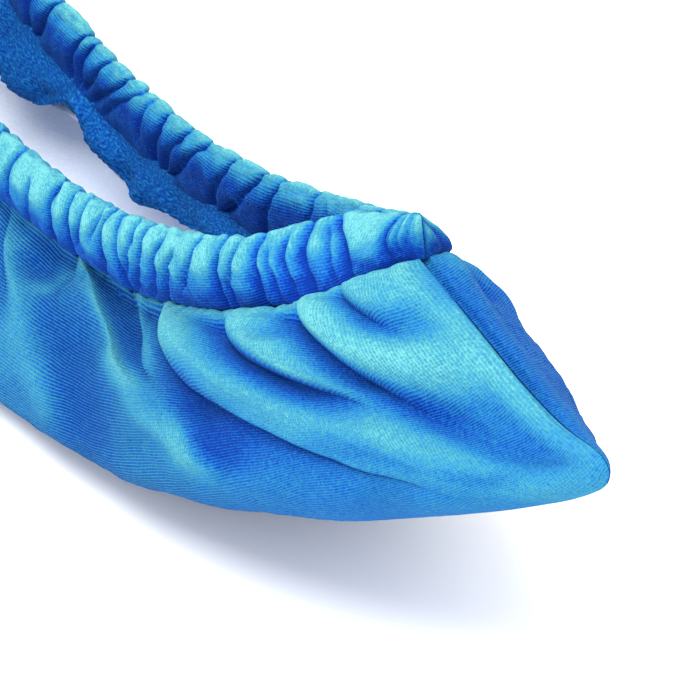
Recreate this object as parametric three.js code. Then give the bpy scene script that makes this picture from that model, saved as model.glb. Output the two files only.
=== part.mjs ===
// A skate blade soaker: a soft boat of stretch velour with a gathered elastic mouth, lined with terry.
// Millimetres, +Z up, toe towards +X. It rests on its keel, which is flattened where it meets the surface.
// Each half is a shell panel, a casing, a hem and a lining, joined at the toe, the keel and the heel.
// The left half is the right half turned by half a turn about Z, except for the gathers of its casing.
import * as THREE from 'three';

// ---- Driving dimensions ----
const RIM = {
  radius: 178,
  halfLength: 101,
  height: 39,
  halfWidth: 13,
  endWidth: 1.5,
  squareness: 5,
  closing: 0.96,
};
// The keel lies flat in the middle and curves up to a tip, which hangs by tipDrop.
const KEEL = { flat: 8, radius: 232, halfLength: 174, settle: 0.9, tipDrop: 1.5, dropFrom: 0.75 };
// The lower corner of each tip is rounded: share is how much of the length it loses.
const TIP_ROUND = { share: 0.012, alongFrom: 0.9, downFrom: 0.82, power: 1.5 };
const BODY = { halfWidth: 28.5, fullness: 3.5, bluntness: 0.75, height: 50, endClose: 0.02 };
// The cross-section changes from a hanging bag in the middle to a rounder one near toe and heel.
// shoulder: share of the way down where it is widest. swell: how late it widens.
// bottom: how flat it is below. lean: how much narrower an inner body is at the top, per mm of inset.
const MIDDLE = { shoulder: 0.72, swell: 1, bottom: 2.65, lean: 0.5 };
const ENDS = { shoulder: 0.38, swell: 0.5, bottom: 4.1, lean: 0 };
const SECTION_CHANGE = { from: 0.25, to: 0.7 };
const CASING = {
  height: 12.4,
  outside: 2.7,
  inside: 2.3,
  valleyShare: 0.55,
  valleyDrop: 0.9,
  endColumn: 0.97,
  gatherColumns: [0.35, 0.65],
  section: [
    { height: 0.03, fullness: 0.35 },
    { height: 0.18, fullness: 0.85 },
    { height: 0.68, fullness: 1 },
    { height: 0.93, fullness: 0.62 },
    { height: 1, fullness: 0.25 },
  ],
};
const HEM = { wall: 1.2, offset: 1.0, flare: 0.8, drop: 6.2, halfLength: 0.72, columns: 36 };
// The waves of the hem's lower edge: height in mm, turns per unit of t, and where each starts.
const HEM_WAVES = [
  { height: 1.1, rate: 23, start: 1 },
  { height: 0.55, rate: 51, start: 0 },
];
const SHELL_WALL = 1.5;
const LINING_WALL = 2.0;
const LINING_CLEARANCE = 0.6; // between the shell and the lining, which bridges the sharpest creases
const GAP = 0.3; // clearance between neighbouring pieces
const END_PULL = 0.0085; // share of the length that a smaller body loses at toe and heel, per mm of inset

// Folds start at the stitch line and sweep towards the toe or the heel on their way down, by a share of the
// cloth's length that is left there. The sweep turns from heel to toe between two places on the stitch line.
const SWEEP = {
  heelwards: -0.6,
  toewards: 0.3,
  share: 0.85,
  power: 0.75,
  behindGrowth: 0.9,
  aheadGrowth: 2,
};
// A fold deepens below the stitch line and fades from fadeFrom of its reach. It stops short of the keel and
// of the two ends.
const FOLD = { power: 1.5, deepensBy: 0.1, fadeFrom: 0.35, endMargin: 0.1, keelFrom: 0.8, keelTo: 0.97 };

// Folds of the right shell panel. at: place on the stitch line, from -1 at the heel to 1 at the toe.
// depth: how far the cloth sinks, mm. reach: share of the way down to the keel where it fades.
// behind, ahead: widths of its two slopes at the top, mm, the second on the side that it sweeps towards.
// drift: how much further than the common sweep the fold goes by the keel.
const FOLDS = [
  { at: -0.89, depth: 1.8, reach: 0.55, behind: 5, ahead: 3, drift: 0.02 },
  { at: -0.79, depth: 2.8, reach: 0.8, behind: 8, ahead: 3, drift: 0.02 },
  { at: -0.65, depth: 2.6, reach: 0.6, behind: 9, ahead: 4, drift: 0.02 },
  { at: -0.5, depth: 3.6, reach: 0.95, behind: 12, ahead: 3.5, drift: -0.03 },
  { at: -0.37, depth: 2.6, reach: 0.6, behind: 9, ahead: 4, drift: 0 },
  { at: -0.2, depth: 3.2, reach: 0.7, behind: 14, ahead: 4, drift: 0 },
  { at: -0.03, depth: 3.0, reach: 0.45, behind: 10, ahead: 4, drift: 0 },
  { at: 0.155, depth: 4.4, reach: 0.7, behind: 19, ahead: 3, drift: 0 },
  { at: 0.31, depth: 3.2, reach: 0.6, behind: 12, ahead: 3, drift: -0.05 },
  { at: 0.43, depth: 4.0, reach: 1, behind: 8, ahead: 2.5, drift: -0.03 },
  { at: 0.61, depth: 2.8, reach: 0.6, behind: 11, ahead: 3, drift: 0.02 },
  { at: 0.79, depth: 3.0, reach: 0.9, behind: 8, ahead: 2.5, drift: 0 },
  { at: 0.885, depth: 2.0, reach: 0.55, behind: 4.5, ahead: 2, drift: 0.02 },
];

// Where the elastic draws each casing in, on the same scale as a fold's place.
const RIGHT_GATHERS = [
  -0.93, -0.86, -0.79, -0.71, -0.65, -0.57, -0.5, -0.43, -0.37, -0.3, -0.25, -0.17, -0.11, -0.04,
  0.04, 0.15, 0.21, 0.28, 0.32, 0.36, 0.4, 0.46, 0.53, 0.61, 0.67, 0.75, 0.8, 0.9,
];
const LEFT_GATHERS = [
  -0.92, -0.84, -0.76, -0.68, -0.6, -0.53, -0.46, -0.38, -0.3, -0.24, -0.19, -0.14,
  0.03, 0.08, 0.13, 0.2, 0.26, 0.34, 0.42, 0.5, 0.6, 0.69, 0.77, 0.85, 0.93,
];

const ROWS = [0, 0.04, 0.1, 0.19, 0.32, 0.5, 0.7, 0.86, 0.97, 1];
const LINING_ROWS = ROWS.slice(2); // the lining starts below the stitch line, behind the hem
const END_COLUMNS = [0.95, 0.985, 1];
const COLUMN_SPACING = 0.012; // least space between columns at the stitch line
const KEEL_SPACING = 0.125; // greatest space between columns at the keel
const WIDE_SLOPE = 8; // a slope wider than this, in mm, has a column halfway too
const STEP = 0.01; // step in t and v for slopes

// ---- Small helpers ----
const clamp = (x, low, high) => Math.min(Math.max(x, low), high);
const mix = (a, b, share) => a + (b - a) * share;
const smooth = (low, high, x) => {
  const s = clamp((x - low) / (high - low), 0, 1);
  return s * s * (3 - 2 * s);
};
const range = (n) => Array.from({ length: n }, (_, i) => i);

// ---- Profile lines in the X-Z plane, t from -1 at the heel to 1 at the toe ----
function rimPoint(t) {
  const turn = (RIM.halfLength * Math.abs(t)) / RIM.radius;
  const x = Math.sign(t) * RIM.radius * Math.sin(turn);
  const z = RIM.height - KEEL.settle + RIM.radius * (1 - Math.cos(turn));
  return new THREE.Vector2(x, z);
}

// inset moves the line towards the inside of the soaker.
function keelPoint(t, inset = 0) {
  const along = KEEL.halfLength * Math.abs(t);
  const turn = Math.max(along - KEEL.flat, 0) / KEEL.radius;
  const radius = KEEL.radius - inset;
  const x = Math.sign(t) * (Math.min(along, KEEL.flat) + radius * Math.sin(turn));
  const drop = KEEL.settle + KEEL.tipDrop * smooth(KEEL.dropFrom, 1, Math.abs(t));
  return new THREE.Vector2(x, KEEL.radius - radius * Math.cos(turn) - drop);
}

function casingUp(t) {
  return rimPoint(t).sub(keelPoint(t)).normalize();
}

function stitchPoint(t) {
  return rimPoint(t).addScaledVector(casingUp(t), -CASING.height);
}

// ---- Half widths in plan ----
function mouthHalfWidth(t) {
  const ends = Math.pow(Math.abs(t), RIM.squareness);
  return (RIM.halfWidth - RIM.endWidth) * (1 - ends) + RIM.endWidth;
}

function bodyHalfWidth(t) {
  const closing = 1 - Math.pow(Math.abs(t), BODY.fullness);
  return BODY.halfWidth * Math.pow(Math.max(closing, 0), BODY.bluntness);
}

// ---- The right half of the body, v from 0 at the stitch line to 1 at the keel ----
function tipRounding(t, v) {
  const down = Math.pow(smooth(TIP_ROUND.downFrom, 1, v), TIP_ROUND.power);
  return TIP_ROUND.share * down * smooth(TIP_ROUND.alongFrom, 1, Math.abs(t));
}

// inset makes a smaller body: END_PULL draws its ends back, and the other sides come in by the inset.
function bodyPoint(t, v, inset = 0) {
  const nearEnd = smooth(SECTION_CHANGE.from, SECTION_CHANGE.to, Math.abs(t));
  const part = (key) => mix(MIDDLE[key], ENDS[key], nearEnd);
  const pulled = t * (1 - END_PULL * inset - tipRounding(t, v));
  const top = stitchPoint(pulled).addScaledVector(casingUp(pulled), -inset);
  const q = top.lerp(keelPoint(pulled, inset), v);
  const closing = Math.sqrt(clamp((1 - Math.abs(t)) / BODY.endClose, 0, 1));
  const narrow = mouthHalfWidth(t) * closing - part('lean') * inset;
  const wide = bodyHalfWidth(t) * (1 - inset / BODY.halfWidth);
  const above = 1 - Math.min(v / part('shoulder'), 1);
  const below = Math.max(v - part('shoulder'), 0) / (1 - part('shoulder'));
  const shoulder = narrow + (wide - narrow) * Math.pow(1 - above * above, part('swell'));
  const bottom = Math.sqrt(Math.max(1 - Math.pow(below, part('bottom')), 0));
  return new THREE.Vector3(q.x, -shoulder * bottom, q.y);
}

// The direction out of the cloth.
function bodyNormal(t, v) {
  const at = clamp(t, -1 + 3 * STEP, 1 - 3 * STEP);
  const down = clamp(v, 2 * STEP, 1 - 3 * STEP);
  const alongT = bodyPoint(at + STEP, down).sub(bodyPoint(at - STEP, down));
  const alongV = bodyPoint(at, down + STEP).sub(bodyPoint(at, down - STEP));
  return alongV.cross(alongT).normalize();
}

// -1 where the folds sweep towards the heel, 1 where they sweep towards the toe.
function sweepSide(u) {
  return 2 * smooth(SWEEP.heelwards, SWEEP.toewards, u) - 1;
}

function sweptPlace(u, v) {
  return u + (1 - Math.abs(u)) * SWEEP.share * sweepSide(u) * Math.pow(v, SWEEP.power);
}

function foldPlace(fold, v) {
  return sweptPlace(fold.at, v) + Math.sign(sweepSide(fold.at)) * fold.drift * v;
}

// The distance in mm from a fold's line, positive on the side that it sweeps towards.
function acrossFold(fold, t, v) {
  const above = Math.max(v - STEP, 0);
  const below = v + STEP;
  const length = mix(RIM.halfLength, KEEL.halfLength, v);
  const slant = (foldPlace(fold, below) - foldPlace(fold, above)) / (below - above);
  const side = Math.sign(sweepSide(fold.at));
  return ((t - foldPlace(fold, v)) * side * length) / Math.hypot(1, (slant * length) / BODY.height);
}

function foldDepth(t, v) {
  let depth = 0;
  for (const fold of FOLDS) {
    const mm = acrossFold(fold, t, v);
    const behind = fold.behind * (1 + SWEEP.behindGrowth * v);
    const ahead = fold.ahead * (1 + SWEEP.aheadGrowth * v);
    const slope = Math.pow(Math.max(1 - Math.abs(mm) / (mm > 0 ? ahead : behind), 0), FOLD.power);
    const fade = smooth(0, FOLD.deepensBy, v) * (1 - smooth(FOLD.fadeFrom, 1, v / fold.reach));
    depth = Math.max(depth, fold.depth * slope * fade);
  }
  const clearOfEnds = smooth(0, FOLD.endMargin, 1 - Math.abs(t));
  const clearOfKeel = 1 - smooth(FOLD.keelFrom, FOLD.keelTo, v);
  return depth * clearOfEnds * clearOfKeel;
}

// A point of the gathered cloth, kept off the middle plane and above the floor by its inset.
function clothPoint(u, v, inset) {
  const t = sweptPlace(u, v);
  const point = bodyPoint(t, v, inset).addScaledVector(bodyNormal(t, v), -foldDepth(t, v));
  point.y = Math.min(point.y, -GAP / 2);
  point.z = Math.max(point.z, inset);
  return point;
}

// Columns that are far apart at the keel get others between them.
function withKeelColumns(columns) {
  const filled = [columns[0]];
  for (const i of range(columns.length - 1)) {
    const [from, to] = [columns[i], columns[i + 1]];
    const parts = Math.ceil((sweptPlace(to, 1) - sweptPlace(from, 1)) / KEEL_SPACING);
    for (const j of range(parts)) filled.push(mix(from, to, (j + 1) / parts));
  }
  return filled;
}

// Columns run down the folds: one in each crease, one at the foot of each slope and one on a wide slope.
function foldColumns() {
  const places = [...END_COLUMNS.map((place) => -place), ...END_COLUMNS];
  for (const fold of FOLDS) {
    const perMm = Math.sign(sweepSide(fold.at)) / RIM.halfLength;
    places.push(fold.at - fold.behind * perMm, fold.at, fold.at + fold.ahead * perMm);
    if (fold.behind > WIDE_SLOPE) places.push(fold.at - 0.5 * fold.behind * perMm);
  }
  places.sort((a, b) => a - b);
  const kept = [places[0]];
  for (const place of places.slice(1)) {
    const isCrease = FOLDS.some((fold) => fold.at === place);
    const close = place - kept[kept.length - 1] < COLUMN_SPACING;
    if (close && !isCrease && place < 1) continue;
    if (close) kept.pop();
    kept.push(place);
  }
  return withKeelColumns(kept);
}

// ---- Solids ----
function solid(points, triangles) {
  const a = new THREE.Vector3();
  let volume = 0;
  for (const [i, j, k] of triangles) volume += points[i].dot(a.crossVectors(points[j], points[k]));
  const facing = volume > 0 ? triangles : triangles.map(([i, j, k]) => [i, k, j]);
  const geometry = new THREE.BufferGeometry();
  geometry.setAttribute('position', new THREE.Float32BufferAttribute(points.flatMap((p) => p.toArray()), 3));
  geometry.setIndex(facing.flat());
  geometry.computeVertexNormals();
  return geometry;
}

// A wall between two grids of points, closed along its four edges.
function wall(outer, inner) {
  const columns = outer.length;
  const rows = outer[0].length;
  const points = [...outer.flat(), ...inner.flat()];
  const out = (i, j) => i * rows + j;
  const inn = (i, j) => columns * rows + out(i, j);
  const triangles = [];
  const quad = (a, b, c, d) => triangles.push([a, b, c], [a, c, d]);
  for (const i of range(columns - 1)) {
    for (const j of range(rows - 1)) {
      quad(out(i, j), out(i, j + 1), out(i + 1, j + 1), out(i + 1, j));
      quad(inn(i, j), inn(i + 1, j), inn(i + 1, j + 1), inn(i, j + 1));
    }
    quad(out(i, 0), out(i + 1, 0), inn(i + 1, 0), inn(i, 0));
    quad(out(i + 1, rows - 1), out(i, rows - 1), inn(i, rows - 1), inn(i + 1, rows - 1));
  }
  for (const j of range(rows - 1)) {
    quad(out(0, j + 1), out(0, j), inn(0, j), inn(0, j + 1));
    quad(out(columns - 1, j), out(columns - 1, j + 1), inn(columns - 1, j + 1), inn(columns - 1, j));
  }
  return solid(points, triangles);
}

function clothGrid(rows, inset) {
  return foldColumns().map((u) => rows.map((v) => clothPoint(u, v, inset)));
}

function shellPanel() {
  return wall(clothGrid(ROWS, 0), clothGrid(ROWS, SHELL_WALL));
}

function liningPanel() {
  const outside = SHELL_WALL + LINING_CLEARANCE;
  return wall(clothGrid(LINING_ROWS, outside), clothGrid(LINING_ROWS, outside + LINING_WALL));
}

// A point of a casing or hem. out: distance across the wall, away from the mouth. up: from the stitch line.
function rimFramePoint(t, out, up) {
  const p = stitchPoint(t).addScaledVector(casingUp(t), up);
  const half = mouthHalfWidth(t) - RIM.endWidth * smooth(RIM.closing, 1, Math.abs(t));
  return new THREE.Vector3(p.x, -Math.max(half + out, GAP / 2), p.y);
}

// The casing is a flattened tube, drawn in at each gather and full between them.
function casing(gathers) {
  const columns = [-1, -CASING.endColumn];
  for (const i of range(gathers.length)) {
    const next = gathers[i + 1] ?? CASING.endColumn;
    columns.push(gathers[i], ...CASING.gatherColumns.map((share) => mix(gathers[i], next, share)));
  }
  columns.push(CASING.endColumn, 1);
  const side = (t, width) => {
    const drawn = gathers.includes(t) || Math.abs(t) === 1;
    const share = drawn ? CASING.valleyShare : 1;
    const top = CASING.height - (drawn ? CASING.valleyDrop : 0);
    return CASING.section.map(({ height, fullness }) =>
      rimFramePoint(t, width * share * fullness, Math.max(top * height, GAP)),
    );
  };
  const outer = columns.map((t) => side(t, CASING.outside));
  const inner = columns.map((t) => side(t, -CASING.inside));
  return wall(outer, inner);
}

// The turned-in edge of the casing hangs below its stitch line, inside the mouth, with a wavy lower edge.
function hem() {
  const columns = range(HEM.columns + 1).map((i) => HEM.halfLength * ((2 * i) / HEM.columns - 1));
  const drop = (t) =>
    HEM_WAVES.reduce((sum, { height, rate, start }) => sum + height * Math.sin(rate * t + start), HEM.drop);
  const face = (t, out) => [0, 0.5, 1].map((s) => rimFramePoint(t, out + HEM.flare * s, -s * drop(t)));
  const outer = columns.map((t) => face(t, -HEM.offset));
  const inner = columns.map((t) => face(t, -HEM.offset - HEM.wall));
  return wall(outer, inner);
}

// ---- Assembly ----
const velour = () => new THREE.MeshStandardMaterial({ color: 0x2a86d6, roughness: 0.75, metalness: 0 });
const terry = () => new THREE.MeshStandardMaterial({ color: 0xe9ebf6, roughness: 0.95, metalness: 0 });
const overlock = () => new THREE.MeshStandardMaterial({ color: 0x2479c8, roughness: 0.9, metalness: 0 });

const group = new THREE.Group();
const halves = [
  { side: 'right', turn: 0, gathers: RIGHT_GATHERS },
  { side: 'left', turn: Math.PI, gathers: LEFT_GATHERS.map((place) => -place).reverse() },
];
for (const { side, turn, gathers } of halves) {
  const half = new THREE.Group();
  half.rotation.z = turn;
  const add = (name, geometry, material) => {
    const mesh = new THREE.Mesh(geometry, material);
    mesh.name = `${side}_${name}`;
    half.add(mesh);
  };
  add('shell_panel', shellPanel(), velour());
  add('elastic_casing', casing(gathers), velour());
  add('turned_hem', hem(), overlock());
  add('terry_lining', liningPanel(), terry());
  group.add(half);
}

export default group;
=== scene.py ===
"""The looks of a skate blade soaker: gathered velour panels, elastic casings, overlocked hems and a terry lining.

The shapes are worked out in millimetres from the CAD model's main driving dimensions, with softer forms of their own,
and finished in metres.
Each half is made once, as the right half, and the left half is the same shape turned by half a turn about Z,
with gathers of its own.
"""
import math
from collections import namedtuple
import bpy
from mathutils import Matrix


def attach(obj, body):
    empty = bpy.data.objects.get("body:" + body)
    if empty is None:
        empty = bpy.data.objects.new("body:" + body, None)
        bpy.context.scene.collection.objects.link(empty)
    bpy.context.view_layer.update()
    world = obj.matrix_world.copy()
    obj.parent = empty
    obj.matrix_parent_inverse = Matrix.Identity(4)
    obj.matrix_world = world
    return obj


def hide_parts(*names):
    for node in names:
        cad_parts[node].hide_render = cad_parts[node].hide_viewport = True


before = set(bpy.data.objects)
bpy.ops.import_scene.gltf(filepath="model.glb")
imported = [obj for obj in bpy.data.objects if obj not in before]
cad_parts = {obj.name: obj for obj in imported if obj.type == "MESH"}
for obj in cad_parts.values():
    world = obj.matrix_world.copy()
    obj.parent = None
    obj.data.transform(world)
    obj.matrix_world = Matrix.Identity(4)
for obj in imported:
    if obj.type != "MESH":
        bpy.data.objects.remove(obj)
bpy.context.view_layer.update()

from types import SimpleNamespace as Sizes

import bpy
import numpy as np
from mathutils import Vector

MM = 0.001

# ---- Driving dimensions, in millimetres ----
# The rim, the keel, the tips, the body and its sections, the sweep, the walls, the casing and the hem's waves are the
# CAD model's. The sag, the hem's other sizes, the seam, the nose, the corner and the casings' ends are the looks' own.
RIM = Sizes(radius=178, half_length=101, height=39, half_width=13, end_width=1.5, squareness=5, closing=0.96)
KEEL = Sizes(flat=8, radius=232, half_length=174, settle=0.9, tip_drop=1.5, drop_from=0.75)
TIP_ROUND = Sizes(share=0.012, along_from=0.9, down_from=0.82, power=1.5)
BODY = Sizes(half_width=28.5, fullness=3.5, bluntness=0.75, height=50, end_close=0.02)
MIDDLE = Sizes(shoulder=0.72, swell=1, bottom=2.65, lean=0.5)
ENDS = Sizes(shoulder=0.38, swell=0.5, bottom=4.1, lean=0)
SECTION_CHANGE = Sizes(start=0.25, end=0.7)
SWEEP = Sizes(heelwards=-0.6, toewards=0.3, share=0.85, behind_growth=0.9, ahead_growth=2)
CASING = Sizes(height=12.4, outside=2.7, inside=2.3)
SAG = Sizes(depth=1.2, start=0.22, full=0.36, end=0.8, gone=0.92)  # the casings hang lower over the puffed cloth
HEM = Sizes(wall=1.2, offset=0.6, drop=5.6, half_length=0.72, flare=0.3, tuck=1.6)
HEM_WAVES = ((1.1, 23, 1), (0.55, 51, 0))  # height in mm, turns per unit of t, start
SHELL_WALL = 1.5
LINING_WALL = 2.0
LINING_CLEARANCE = 0.6
END_PULL = 0.0085  # how far the ends of an inner layer draw in, as a share of its length for each mm of inset
SEAM_GAP = 0.05  # half the gap that is left between the two halves along the toe, keel and heel seams
SEAM_GROOVE = Sizes(depth=2.4, lip=0.6, fade_from=0.5, fade_to=0.93)  # the panels roll over beside their end seams
# The toe and heel stand fuller than the plain section, and their lowest corners are rounded off.
NOSE = Sizes(swell=3.6, at=0.93, spread=0.12, along_from=0.93, drop=1.5, drop_from=0.7)
CORNER = Sizes(depth=1.5, reach=4.6, pull=(-0.8, 0.6))
# The casings stand upright at their ends, and their tops lean together.
CASING_END = Sizes(
    up=(-0.2, 0.98), height=7.9, bend_from=0.74, bend_to=0.97, meeting=0.85, meet_from=0.72, meet_to=0.88,
    rounding=0.17, round_share=0.05, flare=2.8,
)

# ---- Folds of a shell panel ----
# at: place on the stitch line, from -1 at the heel to 1 at the toe. depth: mm. reach: share of the way down.
# behind, ahead: widths in mm of its slopes, the second on the side that it sweeps towards.
# drift: how much further than the common sweep it goes. roll: how far the cloth ahead leans over it, mm.
# power: how soon it sweeps. sharp: share of the way down to which it is a sharp crease. bend: how it curves back.
Fold = namedtuple("Fold", "at depth reach behind ahead drift roll power sharp bend", defaults=(0,))
LONG_FOLD = Fold(0.42, 5.2, 1.0, 14, 3.2, 0, 1.2, 0.9, 1.0)
FOLDS = [
    Fold(-0.89, 1.2, 0.45, 5, 3, 0.02, 0.5, 0.75, 0.15),
    Fold(-0.79, 1.4, 0.6, 8, 3, 0.02, 0.6, 0.75, 0.3),
    Fold(-0.65, 2.8, 0.6, 9, 3.5, 0.02, 0.8, 0.75, 0.2),
    Fold(-0.5, 3.6, 0.95, 12, 3, -0.03, 1.2, 0.85, 0.9),
    Fold(-0.37, 2.6, 0.6, 9, 3, 0, 0.6, 0.75, 0.2),
    Fold(-0.2, 3.2, 0.7, 14, 4, 0, 0.5, 0.75, 0.2),
    Fold(-0.03, 2.8, 0.5, 10, 3, 0, 0.5, 0.75, 0.2),
    Fold(0.06, 2.2, 0.8, 12, 7, -0.16, 0, 0.75, 0.0),
    Fold(0.176, 3.0, 0.27, 9, 2.4, -0.51, 0.8, 1.0, 0.3, -0.9),
    Fold(0.3, 3.0, 0.95, 7, 6, 0.0, 0.4, 0.9, 0.1),
    LONG_FOLD,
    Fold(0.602, 5.0, 0.8, 9, 3.6, 0.12, 1.3, 0.7, 0.35),
    Fold(0.785, 5.4, 1.1, 9, 3.4, 0, 1.4, 0.69, 0.4),
    Fold(0.878, 3.0, 0.36, 5, 2.8, 0.1, 1.2, 0.7, 0.15),
]

# Painted shade under each fold: width in mm, its growth towards the keel, and the depth of fold that
# darkens it fully.
PAINTED_FOLD_SHADE = Sizes(width=4.2, growth=1.6, full_depth=5)

# Hollows between two crests that start at left and right on the stitch line, with a flat floor.
# left_drift, right_drift: how much further than the common sweep each crest goes.
Hollow = namedtuple("Hollow", "left right depth reach left_drift right_drift")
HOLLOWS = [
    Hollow(-0.32, -0.24, 2.6, 0.3, 0.1, 0.0),
    Hollow(0.07, 0.18, 3.3, 0.22, -0.6, -0.6),
    Hollow(0.185, 0.334, 4.0, 0.4, 0.22, 0.0),
]

# Dents, or swellings where depth is below 0. t, v: place. depth: mm. along, down: half sizes in mm.
# tilt: how far its lower end lies towards the toe.
Dent = namedtuple("Dent", "t v depth along down tilt")
DENTS = [
    Dent(0.757, 0.085, 1.1, 5.0, 2.6, 0.03),
    Dent(0.27, 0.74, 0.8, 24.0, 13.0, 0.0),
    Dent(-0.93, 0.16, 1.4, 3.5, 4.0, 0.0),
    Dent(-0.89, 0.38, -1.1, 14.0, 15.0, 0.0),
    Dent(-0.95, 0.12, 0.8, 8.0, 7.0, 0.0),
]

# Soft bands, raised or sunk, painted paler or darker with painted light and shade.
# places: t at the top end, one third, two thirds and the lower end. low, high: the v of its ends.
# left, right: half widths in mm. height: mm. tone: how much paler it is painted, painted light above 0 and painted
# shade below.
Band = namedtuple("Band", "places low high left right height tone")
BANDS = [
    Band((-0.02, 0.14, 0.243, 0.235), 0.04, 0.74, 7, 4.5, 1.5, -0.05),
    Band((0.24, 0.275, 0.31, 0.30), 0.12, 0.7, 7, 9, -0.8, -0.45),
    Band((0.105, 0.105, 0.11, 0.12), 0.02, 0.2, 3.0, 2.6, 0, -0.7),
    Band((0.152, 0.15, 0.148, 0.14), 0.02, 0.19, 2.6, 2.6, 0.3, 0.9),
    Band((0.205, 0.29, 0.37, 0.45), 0.03, 0.29, 1.6, 1.1, 0.4, 0.5),
    Band((0.27, 0.31, 0.35, 0.39), 0.03, 0.19, 4, 3, -0.3, -0.5),
    Band((0.345, 0.385, 0.42, 0.46), 0.03, 0.2, 2.5, 4, 0, 0.5),
    Band((0.44, 0.52, 0.55, 0.57), 0.24, 0.65, 6, 2.6, 1.4, 0.15),
    Band((0.55, 0.575, 0.582, 0.595), 0.18, 0.63, 3.5, 6, -0.9, -0.9),
    Band((0.63, 0.685, 0.72, 0.78), 0.08, 0.5, 4.5, 4.5, 0, 0.3),
    Band((0.69, 0.73, 0.765, 0.8), 0.08, 0.36, 3.0, 3.6, -0.2, -0.5),
    Band((0.775, 0.83, 0.88, 0.938), 0.05, 0.88, 5, 3.6, 0.6, 0.25),
    Band((0.77, 0.825, 0.87, 0.91), 0.56, 0.9, 4, 4, -0.3, -0.3),
    Band((0.86, 0.892, 0.918, 0.955), 0.22, 0.86, 2.2, 3.6, -0.35, -0.15),
    Band((0.865, 0.912, 0.945, 0.965), 0.06, 0.62, 4, 4.5, 0.3, 0.2),
    Band((0.94, 0.945, 0.95, 0.955), 0.03, 0.2, 6, 6, 0, -0.45),
    Band((0.97, 0.97, 0.97, 0.97), 0.75, 1.0, 6, 6, 0, -0.3),
    Band((0.95, 0.96, 0.965, 0.97), 0.5, 0.8, 6, 6, 0, -0.35),
    Band((0.09, 0.09, 0.09, 0.09), -0.2, 0.035, 26, 20, 0, -0.55),
    Band((0.6, 0.63, 0.66, 0.69), -0.1, 0.26, 24, 18, 0, -0.22),
    Band((-0.93, -0.93, -0.93, -0.93), 0.1, 0.85, 13, 13, 0, -1.15),
]

# ---- Creases of a casing ----
# at: place at half its height. lean: how far its top lies towards the toe, over the casing's height.
# depth: 0 to 1. low, high: the shares of the casing's height that it spans.
Crease = namedtuple("Crease", "at lean depth low high")
RIGHT_CREASES = [
    Crease(*row)
    for row in (
        (-0.93, 0.0, 0.8, 0, 1), (-0.86, -0.05, 0.7, 0, 1), (-0.79, -0.06, 1.0, 0, 1), (-0.71, -0.08, 0.6, 0.3, 1),
        (-0.65, -0.05, 0.8, 0, 1), (-0.57, -0.08, 0.9, 0, 0.8), (-0.5, -0.06, 1.0, 0, 1), (-0.43, 0.0, 0.7, 0, 1),
        (-0.37, -0.05, 0.8, 0, 1), (-0.3, -0.03, 0.9, 0, 1), (-0.25, -0.05, 0.7, 0.4, 1), (-0.17, 0.0, 1.0, 0, 1),
        (-0.11, 0.03, 0.6, 0, 0.7), (-0.04, 0.0, 0.8, 0, 1), (0.02, 0.02, 0.7, 0.3, 1), (0.08, 0.03, 0.6, 0, 0.8),
        (0.15, 0.04, 0.9, 0, 1), (0.205, 0.03, 1.0, 0, 1), (0.236, 0.07, 0.8, 0.35, 1), (0.27, 0.12, 0.6, 0.55, 1),
        (0.309, 0.07, 0.9, 0, 1), (0.36, 0.03, 0.8, 0, 1), (0.387, 0.09, 0.7, 0.3, 1), (0.42, 0.11, 0.9, 0.1, 1),
        (0.468, 0.12, 0.8, 0.1, 0.9), (0.512, 0.13, 0.8, 0, 0.75), (0.562, 0.14, 0.8, 0.3, 1),
        (0.648, 0.08, 1.0, 0, 1), (0.685, 0.1, 0.8, 0, 0.9), (0.742, 0.05, 0.9, 0, 1), (0.766, 0.03, 0.6, 0, 0.8),
        (0.787, 0.02, 0.8, 0, 0.9), (0.813, 0.0, 0.9, 0, 1), (0.85, -0.03, 0.6, 0, 0.9), (0.873, -0.05, 1.0, 0, 1),
        (0.957, -0.02, 0.9, 0, 1), (0.967, -0.018, 0.5, 0, 1), (0.977, -0.012, 0.5, 0, 1),
        (0.987, -0.005, 0.5, 0, 1),
    )
]
LEFT_CREASES = [
    Crease(*row)
    for row in (
        (-0.985, -0.02, 0.8, 0, 1), (-0.93, -0.03, 0.9, 0, 1), (-0.87, -0.03, 0.6, 0, 1), (-0.8, -0.03, 0.7, 0.3, 1),
        (-0.74, -0.02, 0.6, 0, 0.8), (-0.66, -0.16, 1.0, 0.2, 1), (-0.6, -0.1, 0.6, 0, 0.7),
        (-0.57, -0.05, 0.5, 0.2, 0.9), (-0.49, -0.1, 0.8, 0.3, 1), (-0.355, -0.11, 1.0, 0, 1),
        (-0.27, -0.18, 1.0, 0.1, 1), (-0.205, -0.1, 0.9, 0.1, 1), (-0.1, -0.14, 0.9, 0.1, 1),
        (-0.06, -0.085, 0.8, 0.1, 1), (-0.018, -0.03, 1.0, 0, 1), (0.03, -0.03, 0.5, 0.4, 1),
        (0.105, -0.1, 0.7, 0.2, 1), (0.14, -0.085, 0.9, 0.2, 1), (0.184, -0.05, 0.9, 0.2, 1),
        (0.214, 0.0, 0.9, 0.2, 1), (0.242, 0.01, 0.9, 0.2, 1), (0.34, 0.0, 0.9, 0, 1), (0.38, 0.04, 0.7, 0, 1),
        (0.46, 0.05, 0.9, 0, 1), (0.53, 0.06, 0.8, 0, 1), (0.61, 0.05, 1.0, 0, 1), (0.69, 0.08, 0.7, 0.2, 1),
        (0.77, 0.06, 0.9, 0, 1), (0.85, 0.08, 0.8, 0, 1), (0.91, 0.04, 0.9, 0, 1), (0.95, 0.03, 0.9, 0, 1),
        (0.985, 0.03, 0.8, 0, 1),
    )
]


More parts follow.
